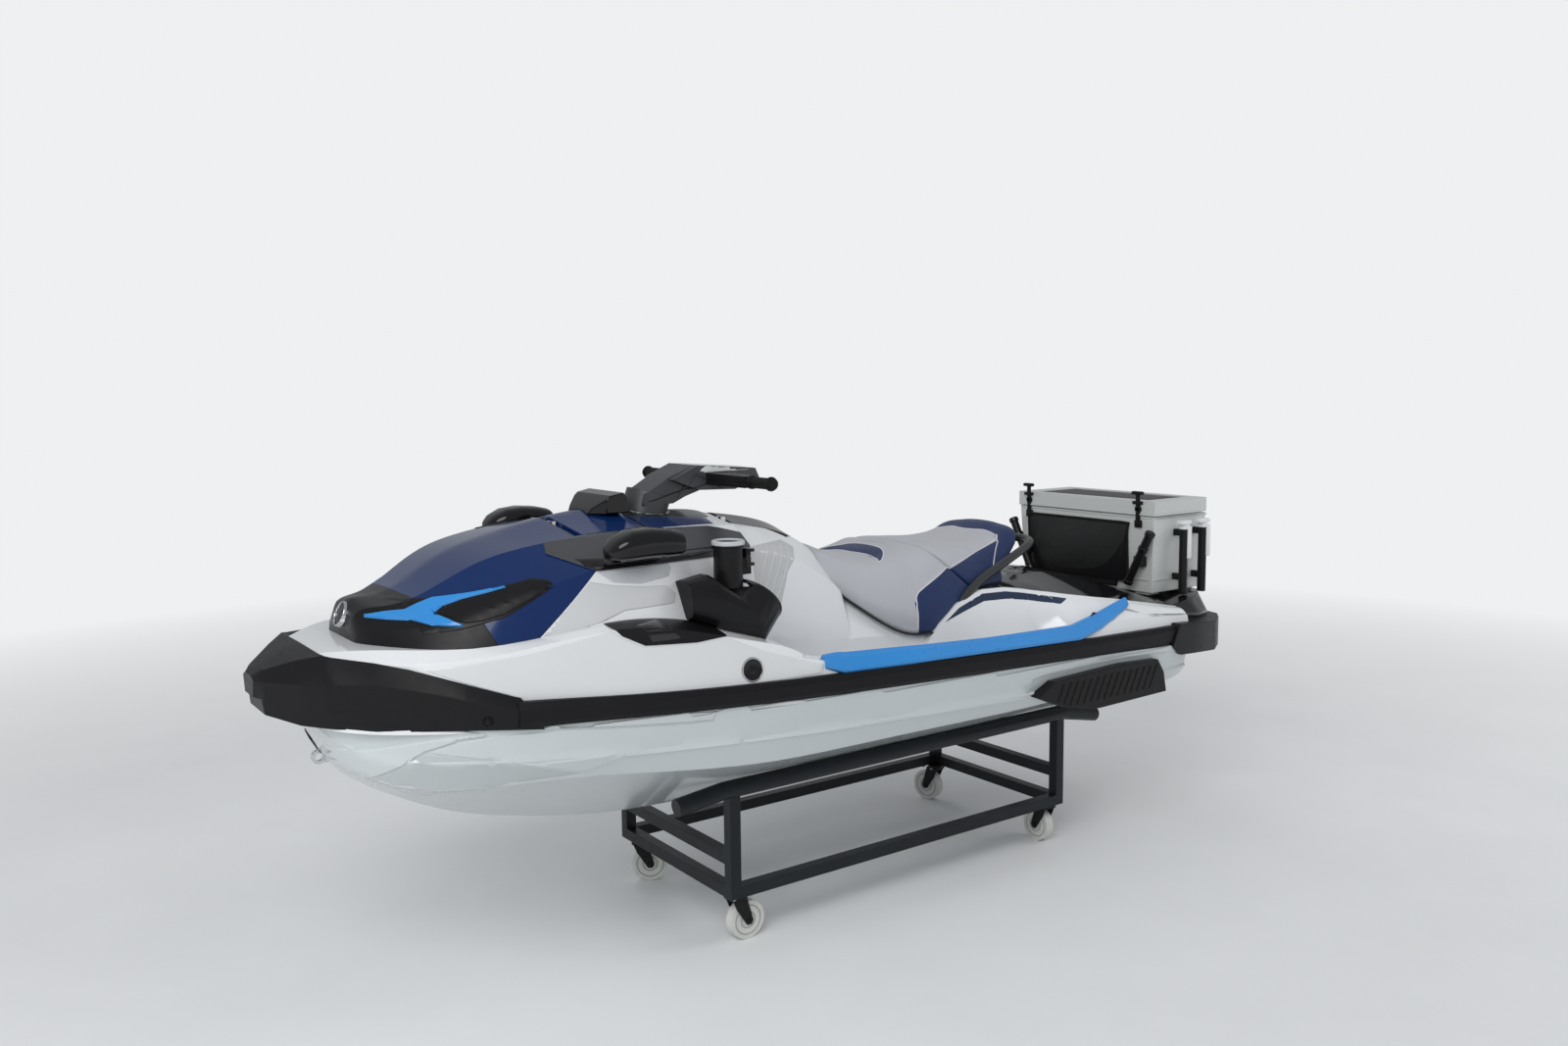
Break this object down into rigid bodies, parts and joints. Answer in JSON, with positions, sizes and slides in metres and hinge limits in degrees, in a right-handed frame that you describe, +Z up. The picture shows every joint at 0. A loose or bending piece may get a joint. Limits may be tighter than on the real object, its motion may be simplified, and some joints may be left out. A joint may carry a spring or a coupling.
{
  "type": "personal watercraft on a shop cradle",
  "caption": "Fishing personal watercraft with a two-piece seat, front storage lid, rear cooler box and rod holders, standing on a steel cradle with swivel casters.",
  "frame": {"origin": "on the floor under the middle of the craft", "axes": "bow towards -X, stern towards +X, starboard +Y, +Z up"},
  "size_m": [3.73, 1.2564, 1.507],
  "materials": {
    "grey_gelcoat": "gloss",
    "white_gelcoat": "gloss",
    "navy_plastic": "gloss",
    "blue_plastic": "satin",
    "black_plastic": "satin",
    "gloss_black": "gloss",
    "grey_plastic": "satin",
    "rubber": "matt",
    "mat": "matt",
    "seat_vinyl": "matt",
    "cooler_shell": "matt",
    "chrome": "polished",
    "aluminium": "cast",
    "stainless": "brushed",
    "cradle_paint": "gloss",
    "caster_black": "satin",
    "wheel_white": "satin",
    "engine_block": "rough"
  },
  "bodies": {
    "craft": {"hull": "grey_gelcoat", "engine": "engine_block", "nose_hood": "navy_plastic", "nose_cowl": "black_plastic", "hood_trim": "blue_plastic", "deck": "white_gelcoat", "footwell_deck": "white_gelcoat", "front_bumper": "black_plastic", "rub_rail": "black_plastic", "rear_bumper": "black_plastic", "rear_deck": "gloss_black", "seat_front": "seat_vinyl", "seat_rear": "seat_vinyl", "mirrors": "gloss_black", "console_panels": "grey_plastic", "speaker_pods": "black_plastic", "cup_holder": "black_plastic", "side_cleats": "black_plastic", "gunwale_trim": "blue_plastic", "floor_mats": "mat", "sponsons": "black_plastic", "bow_eye": "chrome", "grab_handle": "grey_plastic", "cooler_tub": "cooler_shell", "cooler_fittings": "black_plastic", "jet_pump": "aluminium", "ride_plate": "aluminium", "cradle_frame": "cradle_paint"},
    "steering": {"steering_neck": "grey_plastic", "handlebar": "black_plastic", "grips": "rubber", "levers": "black_plastic"},
    "front_lid": {"front_lid": "navy_plastic", "gauge_hood": "gloss_black"},
    "glove_lid": {"glove_lid": "gloss_black"},
    "cooler_lid": {"cooler_lid": "cooler_shell"},
    "impeller": {"impeller": "stainless"},
    "nozzle": {"nozzle": "aluminium"},
    "reverse_gate": {"reverse_gate": "black_plastic"},
    "swivel_front_port": {"caster_fork_front_port": "caster_black"},
    "wheel_front_port": {"caster_wheel_front_port": "wheel_white"},
    "swivel_front_starboard": {"caster_fork_front_starboard": "caster_black"},
    "wheel_front_starboard": {"caster_wheel_front_starboard": "wheel_white"},
    "swivel_rear_port": {"caster_fork_rear_port": "caster_black"},
    "wheel_rear_port": {"caster_wheel_rear_port": "wheel_white"},
    "swivel_rear_starboard": {"caster_fork_rear_starboard": "caster_black"},
    "wheel_rear_starboard": {"caster_wheel_rear_starboard": "wheel_white"}
  },
  "joints": [
    {"name": "steering_turn", "type": "hinge", "parent": "craft", "child": "steering", "pos_m": [-0.65, 0, 1.352], "axis": [0.342, 0, 0.9397], "range_deg": [-25, 25]},
    {"name": "nozzle_turn", "type": "hinge", "parent": "craft", "child": "nozzle", "pos_m": [1.435, 0, 0.525], "axis": [0, 0, 1], "range_deg": [-20, 20]},
    {"name": "reverse_gate_drop", "type": "hinge", "parent": "craft", "child": "reverse_gate", "pos_m": [1.48, 0, 0.525], "axis": [0, 1, 0], "range_deg": [0, 80]},
    {"name": "impeller_spin", "type": "hinge", "parent": "craft", "child": "impeller", "pos_m": [1.265, 0, 0.525], "axis": [1, 0, 0], "continuous": true},
    {"name": "front_lid_open", "type": "hinge", "parent": "craft", "child": "front_lid", "pos_m": [-0.997, 0, 1.35], "axis": [0, -1, 0], "range_deg": [0, 60]},
    {"name": "glove_lid_open", "type": "hinge", "parent": "craft", "child": "glove_lid", "pos_m": [-0.403, 0, 1.326], "axis": [0, -1, 0], "range_deg": [0, 40]},
    {"name": "cooler_lid_open", "type": "hinge", "parent": "craft", "child": "cooler_lid", "pos_m": [1.811, 0, 1.23], "axis": [0, 1, 0], "range_deg": [0, 95]},
    {"name": "swivel_front_port", "type": "hinge", "parent": "craft", "child": "swivel_front_port", "pos_m": [-0.518, -0.31, 0.15], "axis": [0, 0, 1], "continuous": true},
    {"name": "roll_front_port", "type": "hinge", "parent": "swivel_front_port", "child": "wheel_front_port", "pos_m": [-0.482, -0.31, 0.0625], "axis": [0, 1, 0], "continuous": true},
    {"name": "swivel_front_starboard", "type": "hinge", "parent": "craft", "child": "swivel_front_starboard", "pos_m": [-0.518, 0.31, 0.15], "axis": [0, 0, 1], "continuous": true},
    {"name": "roll_front_starboard", "type": "hinge", "parent": "swivel_front_starboard", "child": "wheel_front_starboard", "pos_m": [-0.48651, 0.29255, 0.0625], "axis": [0.4848, 0.8746, 0], "continuous": true},
    {"name": "swivel_rear_port", "type": "hinge", "parent": "craft", "child": "swivel_rear_port", "pos_m": [0.912, -0.31, 0.15], "axis": [0, 0, 1], "continuous": true},
    {"name": "roll_rear_port", "type": "hinge", "parent": "swivel_rear_port", "child": "wheel_rear_port", "pos_m": [0.91326, -0.27402, 0.0625], "axis": [-0.9994, 0.0349, 0], "continuous": true},
    {"name": "swivel_rear_starboard", "type": "hinge", "parent": "craft", "child": "swivel_rear_starboard", "pos_m": [0.912, 0.31, 0.15], "axis": [0, 0, 1], "continuous": true},
    {"name": "roll_rear_starboard", "type": "hinge", "parent": "swivel_rear_starboard", "child": "wheel_rear_starboard", "pos_m": [0.90452, 0.34521, 0.0625], "axis": [-0.9781, -0.2079, 0], "continuous": true}
  ],
  "couplings": [
    {"joint": "nozzle_turn", "follows": "steering_turn", "ratio": -0.8}
  ]
}
